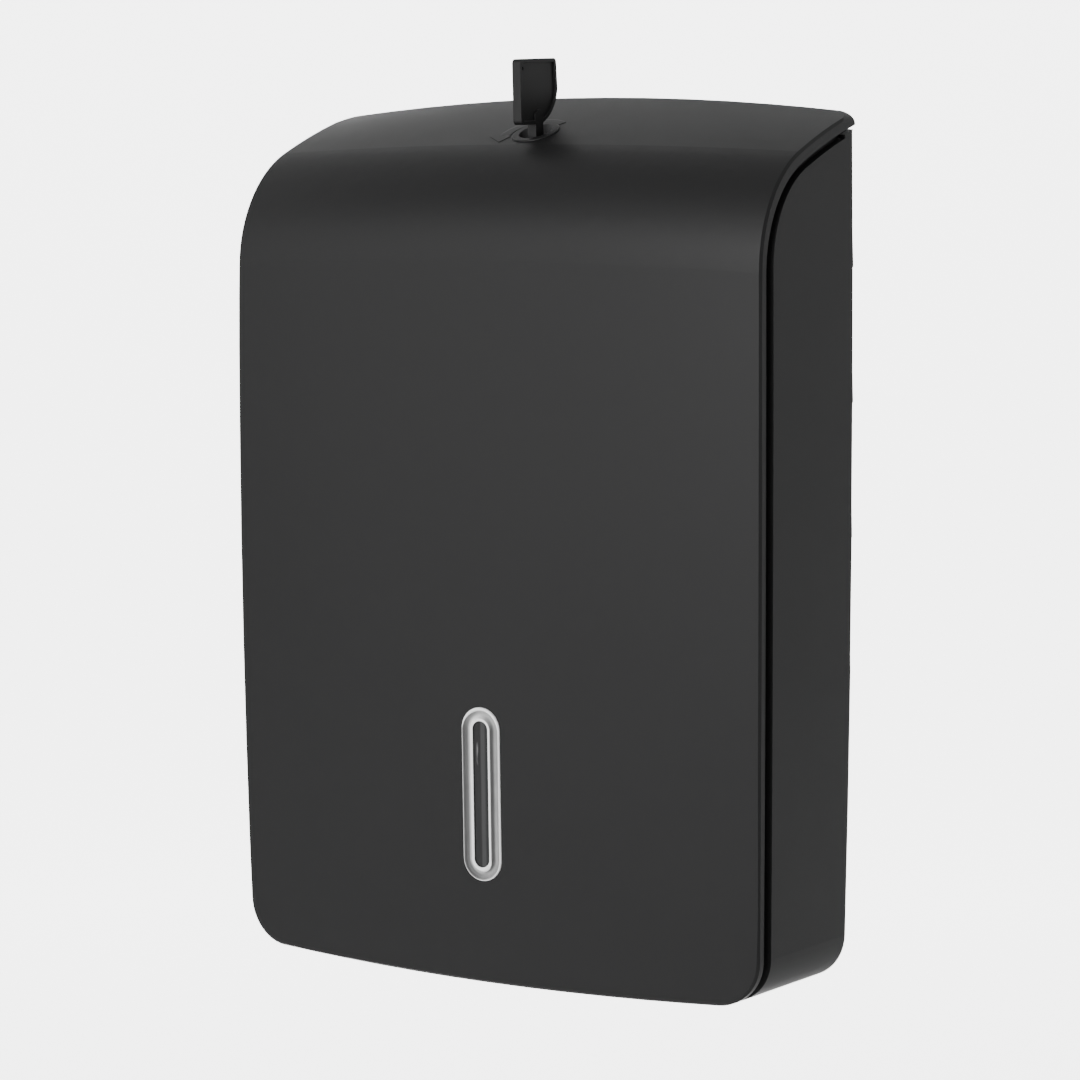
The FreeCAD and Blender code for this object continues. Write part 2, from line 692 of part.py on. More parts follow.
def cam_screw():
    seat = V(0, 0, barrel_low - cam_wall - plug_gap - washer_wall)
    return at_lock(screw(seat, V(0, 0, 1), cam_screw_radius, cam_screw_length))


# ================================================================= key
def bow_outline(inset):
    """Outline of the key's bow in the lock's frame: square front, and a heel that runs in to the stem."""
    front = inset - key_front
    back = key_width - key_front - inset
    back_top = back - key_back_taper
    low = key_bow_base + inset
    top = key_bow_base + key_height - inset
    r = key_corner_radius - inset * 0.5
    s = 1.0 - math.sqrt(0.5)
    heel = key_heel_radius - inset
    heel_y = key_width - key_front - math.sqrt(key_heel_radius ** 2 - key_heel_kink ** 2)
    heel_z = key_bow_base + key_heel_height + key_heel_kink
    foot_y = key_stem_depth / 2.0
    angles = [math.acos((y - heel_y) / heel) for y in (foot_y, back)]
    angles.insert(1, (angles[0] + angles[1]) / 2.0)
    foot, middle, shoulder = [V(0, heel_y + heel * math.cos(a), heel_z - heel * math.sin(a)) for a in angles]
    edges = [Part.makeLine(foot, V(0, foot_y, low)),
             Part.makeLine(V(0, foot_y, low), V(0, front + r, low)),
             Part.Arc(V(0, front + r, low), V(0, front + s * r, low + s * r), V(0, front, low + r)).toShape(),
             Part.makeLine(V(0, front, low + r), V(0, front, top - r)),
             Part.Arc(V(0, front, top - r), V(0, front + s * r, top - s * r), V(0, front + r, top)).toShape(),
             Part.makeLine(V(0, front + r, top), V(0, back_top - r, top)),
             Part.Arc(V(0, back_top - r, top), V(0, back_top - s * r, top - s * r),
                      V(0, back_top, top - r)).toShape(),
             Part.makeLine(V(0, back_top, top - r), shoulder),
             Part.Arc(shoulder, middle, foot).toShape()]
    return Part.Face(Part.Wire(edges))


def key():
    """Flat bow with a recessed panel on both sides, and a rectangular stem."""
    half = key_wall / 2.0
    bow = bow_outline(0.0)
    bow.translate(V(-half, 0, 0))
    bow = bow.extrude(V(key_wall, 0, 0))
    depth = key_stem_depth / 2.0
    low = plug_top - key_stem_in_plug + 0.2
    stem = box(-half, half, -depth, depth, low, key_bow_base + 1.0)
    stem = stem.makeChamfer(0.8, [e for e in stem.Edges if e.BoundBox.ZMax < low + 0.01])
    dome = fuse([box(-half, half, -depth, depth, key_bow_base, key_bow_base + key_dome_height),
                 cylinder(depth, key_wall, V(-half, 0, key_bow_base + key_dome_height), V(1, 0, 0))])
    body = fuse([bow, stem])
    for shift in (half - key_panel_depth, -half):
        pocket = bow_outline(key_panel_rim)
        pocket.translate(V(shift, 0, 0))
        body = body.cut(pocket.extrude(V(key_panel_depth, 0, 0)).cut(dome))
    hole_z = key_bow_base + key_height - key_hole_inset * 1.4
    hole_start = V(-key_wall, key_hole_inset - key_front, hole_z)
    hole = cylinder(key_hole_radius, key_wall * 2.0, hole_start, V(1, 0, 0))
    return at_lock(body.cut(hole))


# ================================================================= keeper under the header
def keeper_places():
    """Y of the lip's two faces and heights of the lip's edge and the plate's underside."""
    cam_face = barrel_low - plug_gap
    axis_y = lock_centre.y - cam_face * math.sin(lean)
    axis_z = lock_centre.z + cam_face * math.cos(lean)
    hook_front = cam_reach - cam_hook_wall
    lip_back = axis_y + hook_front * math.cos(lean) - keeper_hook_gap
    lip_low = axis_z + hook_front * math.sin(lean) + cam_under_lip
    plate_low = axis_z + cam_reach * math.sin(lean) + cam_hook_height + hook_under_keeper
    return lip_back, lip_low, plate_low


def latch_keeper():
    """Angle plate under the header; its lip hangs in front of the turned cam's hook."""
    lip_back, lip_low, plate_low = keeper_places()
    half = keeper_width / 2.0
    back = -back_wall - keeper_back_gap
    plate = box(-half, half, lip_back, back, plate_low, plate_low + keeper_wall)
    half_lip = keeper_lip_width / 2.0
    lip = box(-half_lip, half_lip, lip_back - keeper_wall, lip_back, lip_low, plate_low + keeper_wall)
    angle = fuse([plate, lip])
    for x in (-keeper_screw_x, keeper_screw_x):
        below = V(x, keeper_screw_y, plate_low - 1.0)
        angle = angle.cut(cylinder(keeper_screw_radius + screw_fit, FAR, below, V(0, 0, 1)))
    return angle


def keeper_screws():
    plate_low = keeper_places()[2]
    length = keeper_wall + header_wall + keeper_screw_tail
    return Part.makeCompound([screw(V(x, keeper_screw_y, plate_low), V(0, 0, 1), keeper_screw_radius, length)
                              for x in (-keeper_screw_x, keeper_screw_x)])


# ================================================================= housing on the wall
def tub():
    """Flanks, lower wall and back of the housing, with the step and rim inside the cover."""
    behind = flange_depth + groove_depth
    outline = outline_body(0.0, FRONT, 0.0)
    back_edges = [e for e in outline.Edges if e.BoundBox.YMin > -0.01 and e.BoundBox.ZMin < roof_back_z]
    outline = outline.makeFillet(back_edge_radius, back_edges)
    band = crowned_body(flange_depth + flange_drop + post_gap, 0.0, back_edge_bevel)
    band = band.common(box(-width, width, -post_depth, 0.0, -FAR, roof_back_z + FAR))
    outer = fuse([crowned_body(behind, groove_rise), band]).common(outline)
    inside = outline_body(housing_wall, FRONT, -back_wall)
    rim_out = outline_body(cover_wall + rim_gap, FRONT, -back_wall)
    rim_in = outline_body(cover_wall + rim_gap + rim_wall, FRONT, -back_wall)
    step = crowned_body(behind, groove_rise).common(outline_body(housing_wall / 2.0, FRONT, -post_depth))
    step = step.cut(crowned_body(behind + rim_web, groove_rise)).cut(rim_in)
    rim = crowned_body(cover_wall + rim_front_gap).common(rim_out).cut(rim_in)
    rim = rim.cut(crowned_body(behind + rim_web / 2.0, groove_rise))
    rim = rim.common(box(-width, width, FRONT, -post_depth, -FAR, roof_back_z + FAR)).cut(swing_trim())
    return fuse([outer.cut(inside), step, rim])


def housing_lugs():
    """Hinge lugs on the lower wall, two round each ear of the cover, on the right."""
    lugs = []
    near = hinge_x - ear_wall / 2.0 - ear_gap - lug_wall
    far = hinge_x + ear_wall / 2.0 + ear_gap
    for x in (near, far):
        lug = cylinder(lug_radius, lug_wall, V(x, hinge_y, hinge_z), V(1, 0, 0))
        foot = box(x, x + lug_wall, hinge_y - lug_radius, hinge_y + lug_radius, -FAR, hinge_z)
        lugs.append(fuse([lug, foot]).common(outline_body(housing_wall / 2.0, FRONT, 0.0)))
    return lugs


def rounded_slab(x0, x1, y0, y1, z0, z1, radius):
    """Flat slab with round upright corners."""
    slab = box(x0, x1, y0, y1, z0, z1)
    return slab.makeFillet(radius, [e for e in slab.Edges if e.BoundBox.ZLength > z1 - z0 - 0.01])


def wall_hole_places():
    return [(x * wall_hole_x / 2.0, wall_pattern_z + z * wall_hole_z / 2.0) for x in (-1, 1) for z in (-1, 1)]


def rear_housing():
    inner = outline_body(housing_wall / 2.0, FRONT, -back_wall / 2.0)
    plate_low = keeper_places()[2]
    header_low = plate_low + keeper_wall
    header_front = keeper_places()[0] + header_setback
    header = box(-width, width, header_front, 0.0, header_low, header_low + header_wall).common(inner)
    additions = [header]
    rib_low = tray_floor_z + tray_wall + tray_edge_height + back_rib_gap
    rib_front = -back_wall - back_rib_height
    for x in back_rib_x:
        rib = box(x - back_rib_wall / 2.0, x + back_rib_wall / 2.0, rib_front, -back_wall / 2.0,
                  rib_low, header_low + header_wall / 2.0)
        additions.append(rib)
    for x in (-gusset_x, gusset_x):
        gusset = prism([V(x, -back_wall / 2.0, header_low + 1.0), V(x, header_front + 1.0, header_low + 1.0),
                        V(x, -back_wall / 2.0, header_low - gusset_drop)], V(back_rib_wall, 0, 0))
        additions.append(gusset)
    for x, z in wall_hole_places():
        root = V(x, -back_wall / 2.0, z)
        additions.append(cylinder(wall_boss_radius, wall_boss_height + back_wall / 2.0, root, V(0, -1, 0)))
    for x, y in tray_boss_places():
        boss = cylinder(tray_boss_radius, tray_floor_z + FAR, V(x, y, -FAR), V(0, 0, 1))
        additions.append(boss.common(outline_body(housing_wall / 2.0, FRONT, 0.0)))
    for lug in housing_lugs():
        additions.extend([lug, mirrored(lug)])
    body = fuse([tub()] + additions)
    slot_half = ear_wall / 2.0 + ear_gap
    slot_back = hinge_y + ear_boss_radius + ear_slot_gap
    slot = box(hinge_x - slot_half, hinge_x + slot_half, FRONT, slot_back, -FAR, hinge_z + ear_boss_radius)
    outlet = rounded_slab(-outlet_half_width, outlet_half_width, outlet_front_y, -outlet_back_y, -FAR,
                          tray_floor_z - 1.0, outlet_corner)
    pin_end = V(-width / 2.0, hinge_y, hinge_z)
    pin_bore = cylinder(hinge_pin_radius + hinge_clearance, width, pin_end, V(1, 0, 0))
    reach = hinge_x + ear_wall / 2.0 + ear_gap + lug_wall + pin_tail + 1.0
    pin_bore = pin_bore.common(box(-reach, reach, FRONT, 0.0, -FAR, FAR))
    tools = [slot, mirrored(slot), outlet, pin_bore]
    for x, z in wall_hole_places():
        tools.append(cylinder(wall_hole_radius, FAR, V(x, FAR / 2.0, z), V(0, -1, 0)))
    for x, y in tray_boss_places():
        end = V(x, y, tray_floor_z - tray_screw_grip)
        tools.append(cylinder(tray_screw_radius + screw_fit, FAR, end, V(0, 0, 1)))
    for x in (-keeper_screw_x, keeper_screw_x):
        end = V(x, keeper_screw_y, header_low - 1.0)
        tools.append(cylinder(keeper_screw_radius + screw_fit, header_wall * 3.0, end, V(0, 0, 1)))
    for x, z in guide_screw_places():
        end = V(x, -back_wall + guide_screw_grip, z)
        tools.append(cylinder(guide_screw_radius + screw_fit, guide_screw_grip + 1.0, end, V(0, -1, 0)))
    return cut(body, tools)


def hinge_pin():
    """Headed pin through the lugs and the ear, on the right."""
    near = hinge_x - ear_wall / 2.0 - ear_gap - lug_wall
    far = hinge_x + ear_wall / 2.0 + ear_gap + lug_wall + pin_tail
    axis = V(1, 0, 0)
    shank = cylinder(hinge_pin_radius, far - near, V(near, hinge_y, hinge_z), axis)
    head = cylinder(pin_head_radius, pin_head_length, V(near - pin_head_length, hinge_y, hinge_z), axis)
    outer_rim = [e for e in head.Edges if e.Closed and e.BoundBox.XMin < near - 0.5]
    head = head.makeChamfer(pin_head_length * 0.4, outer_rim)
    groove = clip_ring(hinge_pin_radius + 1.0, hinge_pin_radius - clip_bite)
    return fuse([shank, head]).cut(groove)


def clip_ring(outer, inner):
    low = hinge_x + ear_wall / 2.0 + ear_gap + lug_wall + clip_gap
    ring = cylinder(outer, clip_wall, V(low, hinge_y, hinge_z), V(1, 0, 0))
    return ring.cut(cylinder(inner, clip_wall, V(low, hinge_y, hinge_z), V(1, 0, 0)))


def hinge_clips():
    """Open spring rings in the grooves of the two pins."""
    clip = clip_ring(clip_radius, hinge_pin_radius - clip_bite)
    mouth = (hinge_pin_radius - clip_bite) * 0.8
    clip = clip.cut(box(0.0, width, hinge_y - mouth, hinge_y + mouth, hinge_z, hinge_z + clip_radius + 1.0))
    return Part.makeCompound([clip, mirrored(clip)])


# ================================================================= towel tray
outlet_front_y = face_y(width / 2.0, 0.0) + flange_depth + groove_depth + outlet_front_gap
slot_y = (outlet_front_y - outlet_back_y) / 2.0


def tray_boss_places():
    rows = (-tray_back_y - tray_boss_inset, outlet_front_y + tray_boss_inset)
    return [(x * tray_boss_x, y) for x in (-1, 1) for y in rows]


def slot_body(grow, low, high):
    """The towel slot grown by a margin: a long obround with a round middle."""
    r = slot_half_width + grow
    straight = slot_half_length - slot_half_width
    body = box(-straight, straight, slot_y - r, slot_y + r, low, high)
    ends = [cylinder(r, high - low, V(x, slot_y, low), V(0, 0, 1)) for x in (-straight, straight)]
    middle = cylinder(slot_middle_radius + grow, high - low, V(0, slot_y, low), V(0, 0, 1))
    return fuse([body, middle] + ends)


def outlet_tray():
    """Tray under the towels: floor, upstand all round and a collared slot to draw towels through."""
    high = tray_floor_z + tray_wall + tray_edge_height
    front = outlet_front_y - tray_front_overlap
    half = tray_half_width
    block = rounded_slab(-half, half, front, -tray_back_y, tray_floor_z, high, tray_corner)
    w = tray_wall
    inside = rounded_slab(w - half, half - w, front + w, -tray_back_y - w, tray_floor_z + w, high + 1.0,
                          tray_corner - w / 2.0)
    tray = block.cut(inside)
    collar = slot_body(collar_wall, -collar_drop, tray_floor_z + w + collar_lip)
    tray = fuse([tray, collar]).cut(slot_body(0.0, -FAR, FAR))
    for x, y in tray_boss_places():
        tray = tray.cut(cylinder(tray_screw_radius + screw_fit, FAR, V(x, y, 0.0), V(0, 0, 1)))
    return tray


def tray_screws():
    length = tray_wall + tray_screw_grip - screw_fit
    return Part.makeCompound([screw(V(x, y, tray_floor_z + tray_wall), V(0, 0, -1), tray_screw_radius, length)
                              for x, y in tray_boss_places()])


# ================================================================= towel guides
def guide_screw_places():
    x = guide_x + guide_wall + guide_foot / 2.0
    inset = guide_length * 0.06
    return [(s * x, z) for s in (-1, 1) for z in (guide_low_z + inset, guide_low_z + guide_length - inset)]


def towel_guide():
    """Upright channel beside the towels, with cross ribs, on the right."""
    back = -back_wall
    front = back - guide_depth
    x0 = guide_x
    x1 = guide_x + guide_wall
    high = guide_low_z + guide_length
    web = box(x0, x1, front, back, guide_low_z, high)
    foot = box(x0, x1 + guide_foot, back - guide_wall, back, guide_low_z, high)
    lip = box(x0, x1 + guide_lip, front, front + guide_wall, guide_low_z, high)
    pieces = [web, foot, lip]
    pitch = guide_length / guide_rib_count
    for i in range(guide_rib_count):
        z = guide_low_z + (i + 0.5) * pitch
        x2 = x1 + guide_lip
        rib = box(x1, x2, front + guide_wall, back - guide_wall, z, z + guide_wall)
        pieces.append(rib)
    guide = fuse(pieces)
    for x, z in guide_screw_places():
        guide = guide.cut(cylinder(guide_screw_radius + screw_fit, FAR, V(x, 0, z), V(0, -1, 0)))
    return guide


def guide_screws():
    length = guide_wall + guide_screw_grip - screw_fit
    return Part.makeCompound([screw(V(x, -back_wall - guide_wall, z), V(0, 1, 0), guide_screw_radius, length)
                              for x, z in guide_screw_places()])


# ================================================================= pieces of the assembly
def export(name, shape):
    """Write one node, moved so that the wall-screw pattern's centre is the origin."""
    shape = shape.copy()
    shape.translate(V(0, 0, -wall_pattern_z))
    shape.exportStep("parts/" + name + ".step")
    print(name, len(shape.Solids), shape.isValid(), round(shape.Volume))


right_guide = towel_guide()
right_pin = hinge_pin()
export("rear_housing", rear_housing())
export("towel_guide_left", mirrored(right_guide))
export("towel_guide_right", right_guide)
export("guide_screws", guide_screws())
export("outlet_tray", outlet_tray())
export("tray_screws", tray_screws())
export("latch_keeper", latch_keeper())
export("keeper_screws", keeper_screws())
export("hinge_pin_left", mirrored(right_pin))
export("hinge_pin_right", right_pin)
export("hinge_clips", hinge_clips())
export("front_cover", front_cover())
export("window_bezel", window_bezel())
export("window_pane", window_pane())
export("window_frame", window_frame())
export("window_screws", window_screws())
export("lock_body", lock_body())
export("lock_nut", lock_nut())
export("lock_plug", lock_plug())
export("lock_cam", lock_cam())
export("cam_washer", cam_washer())
export("cam_screw", cam_screw())
export("key", key())
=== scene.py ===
# %% [markdown]
# # A dispenser for folded paper towels
# The object hangs on a wall. A crowned black cover wraps over its front and its roof, a level window near
# the foot shows how many towels are left, and a key stands in a lock on the roof. The CAD model is loaded
# as a fixed frame: its pieces keep their places, and this lesson gives them finishes and adds the small
# forms that a mould-maker would add. Everything is in metres, with the wall at y = 0 and the room on the
# side of negative y.

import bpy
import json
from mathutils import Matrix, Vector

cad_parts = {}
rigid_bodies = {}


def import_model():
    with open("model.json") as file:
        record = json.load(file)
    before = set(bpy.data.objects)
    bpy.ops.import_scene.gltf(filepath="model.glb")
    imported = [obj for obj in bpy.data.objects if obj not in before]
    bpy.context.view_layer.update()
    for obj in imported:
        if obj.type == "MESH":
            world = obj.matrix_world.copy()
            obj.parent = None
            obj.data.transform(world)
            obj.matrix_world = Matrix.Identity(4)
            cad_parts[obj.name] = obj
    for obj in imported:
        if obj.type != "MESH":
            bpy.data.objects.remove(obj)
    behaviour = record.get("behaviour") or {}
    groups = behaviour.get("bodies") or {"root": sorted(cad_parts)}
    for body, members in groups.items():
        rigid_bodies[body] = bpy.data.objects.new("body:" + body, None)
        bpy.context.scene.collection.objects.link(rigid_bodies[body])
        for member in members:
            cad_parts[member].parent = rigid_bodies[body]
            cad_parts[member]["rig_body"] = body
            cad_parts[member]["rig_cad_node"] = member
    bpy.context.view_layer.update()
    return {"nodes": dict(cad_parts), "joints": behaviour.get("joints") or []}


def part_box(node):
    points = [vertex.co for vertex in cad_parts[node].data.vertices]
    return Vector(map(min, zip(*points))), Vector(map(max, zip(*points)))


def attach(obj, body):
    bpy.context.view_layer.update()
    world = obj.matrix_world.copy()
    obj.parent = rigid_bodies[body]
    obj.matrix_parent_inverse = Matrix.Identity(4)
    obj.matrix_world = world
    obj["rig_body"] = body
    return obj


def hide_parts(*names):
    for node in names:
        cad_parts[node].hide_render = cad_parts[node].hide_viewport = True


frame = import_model()

import bpy
import bmesh
import json
import math
from mathutils import Vector

nodes = frame["nodes"]
mm = 0.001
origin = (0.0, 0.0, 0.0)

# %% [markdown]
# ## Working by place
# In the window you would click on the points of a mesh that you want. In a script they are picked by where
# they lie, and then an ordinary edit-mode operator is run on them. Four small helpers cover it: one makes
# a piece the only selected object, one picks points with a test, one applies the modifiers when a piece is
# done, and one takes a free copy of a CAD piece.

# %% Selecting
def only(piece):
    """Makes this piece the single selected and active object."""
    bpy.ops.object.select_all(action="DESELECT")
    piece.select_set(True)
    bpy.context.view_layer.objects.active = piece


def pick(piece, test):
    """In edit mode, selects the points that pass the test, and nothing else."""
    bpy.ops.mesh.select_mode(type="VERT")
    bpy.ops.mesh.select_all(action="DESELECT")
    mesh = bmesh.from_edit_mesh(piece.data)
    for point in mesh.verts:
        if test(point):
            point.select_set(True)
    mesh.select_flush_mode()
    bmesh.update_edit_mesh(piece.data)


print("selecting by piece and by place is ready")

# %% Applying and copying
merge_gap = 0.002 * mm
flat_turn = math.radians(0.5)


def apply_modifiers(piece):
    """Applies every modifier, in order."""
    only(piece)
    for modifier in list(piece.modifiers):
        bpy.ops.object.modifier_apply(modifier=modifier.name)


def copy_of(node, name):
    """A free copy of a CAD piece, with loose triangles merged and each flat side one face again."""
    piece = nodes[node].copy()
    piece.data = nodes[node].data.copy()
    piece.name = name
    piece.parent = None
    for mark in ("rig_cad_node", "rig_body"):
        if mark in piece:
            del piece[mark]
    bpy.context.scene.collection.objects.link(piece)
    only(piece)
    bpy.ops.object.mode_set(mode="EDIT")
    bpy.ops.mesh.select_all(action="SELECT")
    bpy.ops.mesh.remove_doubles(threshold=merge_gap)
    bpy.ops.mesh.normals_make_consistent(inside=False)
    bpy.ops.mesh.dissolve_limited(angle_limit=flat_turn)
    bpy.ops.object.mode_set(mode="OBJECT")
    return piece


print("points nearer than", merge_gap / mm, "mm are merged in a copy")

# %% [markdown]
# ## Shader maths as Python
# A finish is a little sum that is worked out at every point of a surface. Blender writes such a sum as
# boxes and wires. Here one class stands for a wire and knows how to add, subtract, multiply and compare,
# so a sum can be written as a line of Python, and each operator adds its Math node. A second class is the
# material itself: what is the same all over is set on its shader, and only what varies is wired to it. A
# Mix node has one set of sockets for each kind of value, all under the same names, so the ones for
# colours are told apart by their numbers.

# %% The wire
class Wire:
    """A number or a point that changes over a surface."""

    def __init__(self, finish, socket):
        self.finish = finish
        self.socket = socket

    def maths(self, operation, first, second=0.0):
        """Adds one Math node."""
        return self.finish.node("ShaderNodeMath", {"operation": operation}, {0: first, 1: second})

    def __add__(self, other):
        return self.maths("ADD", self, other)

    def __radd__(self, other):
        return self.maths("ADD", other, self)

    def __sub__(self, other):
        return self.maths("SUBTRACT", self, other)

    def __rsub__(self, other):
        return self.maths("SUBTRACT", other, self)

    def __mul__(self, other):
        return self.maths("MULTIPLY", self, other)

    def __rmul__(self, other):
        return self.maths("MULTIPLY", other, self)

    def __pow__(self, other):
        return self.maths("POWER", self, other)

    def __abs__(self):
        return self.maths("ABSOLUTE", self)

    def kept_in(self, lowest, highest):
        """The same number, but never under the lowest or over the highest."""
        return self.maths("MINIMUM", self.maths("MAXIMUM", self, lowest), highest)

    def between(self, start, end):
        """0 before start, 1 after end, and smooth from one to the other."""
        return self.finish.node("ShaderNodeMapRange", {"interpolation_type": "SMOOTHSTEP"},
                                {"Value": self, "From Min": start, "From Max": end})

    def around(self, border, softness):
        """0 below the border, 1 above it, and smooth for this softness on each side of it."""
        return self.between(border - softness, border + softness)

    def within(self, rise, fall):
        """1 in a band and 0 outside it; rise and fall give where each soft border starts and ends."""
        return self.between(*rise) * (1.0 - self.between(*fall))


print("a wire knows:", [name for name in vars(Wire) if not name.startswith("_")])

# %% The finish
mix_first = 6
mix_second = 7
mix_result = 2
black = (0.0, 0.0, 0.0)


class Finish:
    """One material: its fixed numbers are set on the shader, and what varies is wired to it."""

    def __init__(self, name, colour, roughness, **fixed):
        self.material = bpy.data.materials.new(name)
        self.material.use_nodes = True
        self.material.diffuse_color = (*colour, 1.0)
        self.tree = self.material.node_tree
        self.shader = self.tree.nodes["Principled BSDF"]
        self.shader.inputs["Base Color"].default_value = (*colour, 1.0)
        self.shader.inputs["Roughness"].default_value = roughness
        for socket, value in fixed.items():
            self.shader.inputs[socket.replace("_", " ")].default_value = value

    def node(self, kind, settings, sockets, output=0):
        """Adds a node; its settings come first, then its sockets get values or wires."""
        made = self.tree.nodes.new(kind)
        for name, value in settings.items():
            setattr(made, name, value)
        for name, value in sockets.items():
            if isinstance(value, Wire):
                self.tree.links.new(value.socket, made.inputs[name])
            else:
                made.inputs[name].default_value = value
        return Wire(self, made.outputs[output])

    def vector(self, operation, first, second=origin, output=0):
        """Adds one Vector Math node."""
        return self.node("ShaderNodeVectorMath", {"operation": operation}, {0: first, 1: second}, output)

    def place(self):
        """The point of the surface, in the piece's own metres."""
        return self.node("ShaderNodeTexCoord", {}, {}, "Object")

    def along(self, axis):
        """One coordinate of that point."""
        return self.node("ShaderNodeSeparateXYZ", {}, {0: self.place()}, axis)

    def from_line(self, point, way):
        """Distance of that point in metres from a line, given by a point and a way of length 1."""
        across = self.vector("CROSS_PRODUCT", self.vector("SUBTRACT", self.place(), point), way)
        return self.vector("LENGTH", across, output="Value")

    def cloud(self, size, detail, stretch=(1.0, 1.0, 1.0)):
        """Soft random patches of about this size in metres, from 0 to 1."""
        spot = self.node("ShaderNodeMapping", {}, {"Vector": self.place(), "Scale": stretch})
        return self.node("ShaderNodeTexNoise", {}, {"Vector": spot, "Scale": 1.0 / size, "Detail": detail})

    def drive(self, socket, wire):
        """Lets the wire set this socket of the shader."""
        self.tree.links.new(wire.socket, self.shader.inputs[socket])

    def relief(self, height, depth, strength):
        """Bumps of the surface; depth is the height of a full bump in metres."""
        sockets = {"Strength": strength, "Distance": depth, "Height": height}
        self.drive("Normal", self.node("ShaderNodeBump", {}, sockets, "Normal"))

    def blend(self, first, second, mask):
        """A colour between two others, which may be wires themselves."""
        ends = [colour if isinstance(colour, Wire) else (*colour, 1.0) for colour in (first, second)]
        sockets = {0: mask, mix_first: ends[0], mix_second: ends[1]}
        return self.node("ShaderNodeMix", {"data_type": "RGBA"}, sockets, mix_result)


print("a finish knows:", [name for name in vars(Finish) if not name.startswith("_")])

# %% Dressing the pieces
def dress(finish, *pieces):
    """Gives each CAD piece or new piece this one finish."""
    for piece in pieces:
        mesh = (nodes[piece] if isinstance(piece, str) else piece).data
        mesh.materials.clear()
        mesh.materials.append(finish.material)
    print(finish.material.name, "on", len(pieces), "pieces")


# %% [markdown]
# ## Satin black plastic
# The mouldings are black ABS from a finely etched mould. Up close the surface is a dense fine grain,
# which spreads every reflection into a soft sheen; from further off, slow patches show where the plastic
# cooled unevenly. A fine noise goes to the bump, a slow one moves the shade, and both move the roughness
# a little. The grain also breaks up what the surface mirrors, so its specular level is half the usual
# 0.5.

# %% The moulded plastics
cooling_patch = 60.0 * mm
mould_grain = 0.35 * mm
key_grain = 0.3 * mm
grain_height = 0.02 * mm
etched_specular = 0.25


def moulded(name, dark, light, roughness, grain=mould_grain):
    """A plastic between two shades, about as rough as given, with grain of this size in metres."""
    plastic = Finish(name, light, roughness, Specular_IOR_Level=etched_specular)
    slow = plastic.cloud(cooling_patch, detail=3.0)
    fine = plastic.cloud(grain, detail=2.0)
    plastic.drive("Base Color", plastic.blend(dark, light, slow))
    plastic.drive("Roughness", roughness - 0.04 + 0.05 * slow + 0.04 * fine)
    plastic.relief(fine, grain_height, strength=0.6)
    return plastic


cover_black = moulded("cover_satin_black", dark=(0.0070, 0.0070, 0.0073), light=(0.0083, 0.0083, 0.0085),
                      roughness=0.42)
inside_grey = moulded("inside_dark_grey", dark=(0.0100, 0.0100, 0.0103), light=(0.0125, 0.0125, 0.0128),
                      roughness=0.5)
key_black = moulded("key_satin_black", dark=(0.0055, 0.0055, 0.0056), light=(0.0068, 0.0068, 0.0069),
                    roughness=0.4, grain=key_grain)
dress(cover_black, "front_cover")
dress(inside_grey, "outlet_tray", "towel_guide_left", "towel_guide_right", "window_frame")
dress(key_black, "lock_plug")

# %% [markdown]
# ## The housing's own black
# Cover and housing come from two moulds, and no two mouldings match quite. The housing gets the same
# recipe as the cover, a shade blacker and a little rougher. The groove between them needs no paint: it is
# narrow and deep, hardly any light finds its way out again, and so it goes black by itself.

# %% The housing's finish
housing_black = moulded("housing_satin_black", dark=(0.0060, 0.0060, 0.0062),
                        light=(0.0073, 0.0073, 0.0075), roughness=0.45)
dress(housing_black, "rear_housing")

# %% [markdown]
# ## Zinc and steel
# The hidden fittings are bought parts: bright zinc on the screws, clips, nut, keeper, washer and cam, and
# plain ground steel on the hinge pins. Zinc plating is a metal with a faint blotchy lustre. One noise
# moves its shade, and that noise and a finer one move its roughness. On the pins both are drawn out along
# the pin, as grinding does.

# %% The metals
plating_blotch = 4.0 * mm
plating_grain = 0.4 * mm
plating_height = 0.01 * mm
along_pin = (0.15, 1.0, 1.0)


def plated(name, dark, light, roughness, stretch=(1.0, 1.0, 1.0)):
    """A metal between two shades, with blotches and grain that may be stretched."""
    metal = Finish(name, light, roughness, Metallic=1.0)
    blotch = metal.cloud(plating_blotch, detail=3.0, stretch=stretch)
    fine = metal.cloud(plating_grain, detail=2.0, stretch=stretch)
    metal.drive("Base Color", metal.blend(dark, light, blotch))
    metal.drive("Roughness", roughness + 0.12 * blotch + 0.06 * fine)
    metal.relief(fine, plating_height, strength=0.4)
    return metal


zinc = plated("zinc_plating", dark=(0.52, 0.53, 0.55), light=(0.68, 0.69, 0.70), roughness=0.28)
pin_steel = plated("ground_steel", dark=(0.45, 0.45, 0.46), light=(0.60, 0.60, 0.61), roughness=0.22,
                   stretch=along_pin)
dress(zinc, "guide_screws", "tray_screws", "keeper_screws", "window_screws", "cam_screw", "cam_washer",
      "lock_nut", "lock_cam", "latch_keeper", "hinge_clips")
dress(pin_steel, "hinge_pin_left", "hinge_pin_right")

# %% [markdown]
# ## The bright window ring
# The level window is set in a bright ring with a raised rim outside, a cove, and a second rim round the
# slot. The rims are polished white, which also serves as a painted highlight, and the cove is etched grey
# with painted light and shade, so the finish has to know how far a point lies from the slot's middle line.
# That line is a straight stretch with a half circle at each end: sideways distance counts in full, and
# height counts only past the ends of the stretch.

# %% Distance from the middle line of the window
low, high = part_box("window_bezel")
bezel_centre = (Vector(low) + Vector(high)) / 2.0
bezel_half = (high[0] - low[0]) / 2.0
straight_half = (high[2] - low[2]) / 2.0 - bezel_half
print("window ring in mm:", round(2 * bezel_half / mm, 1), "wide, straight for",
      round(2 * straight_half / mm, 1))


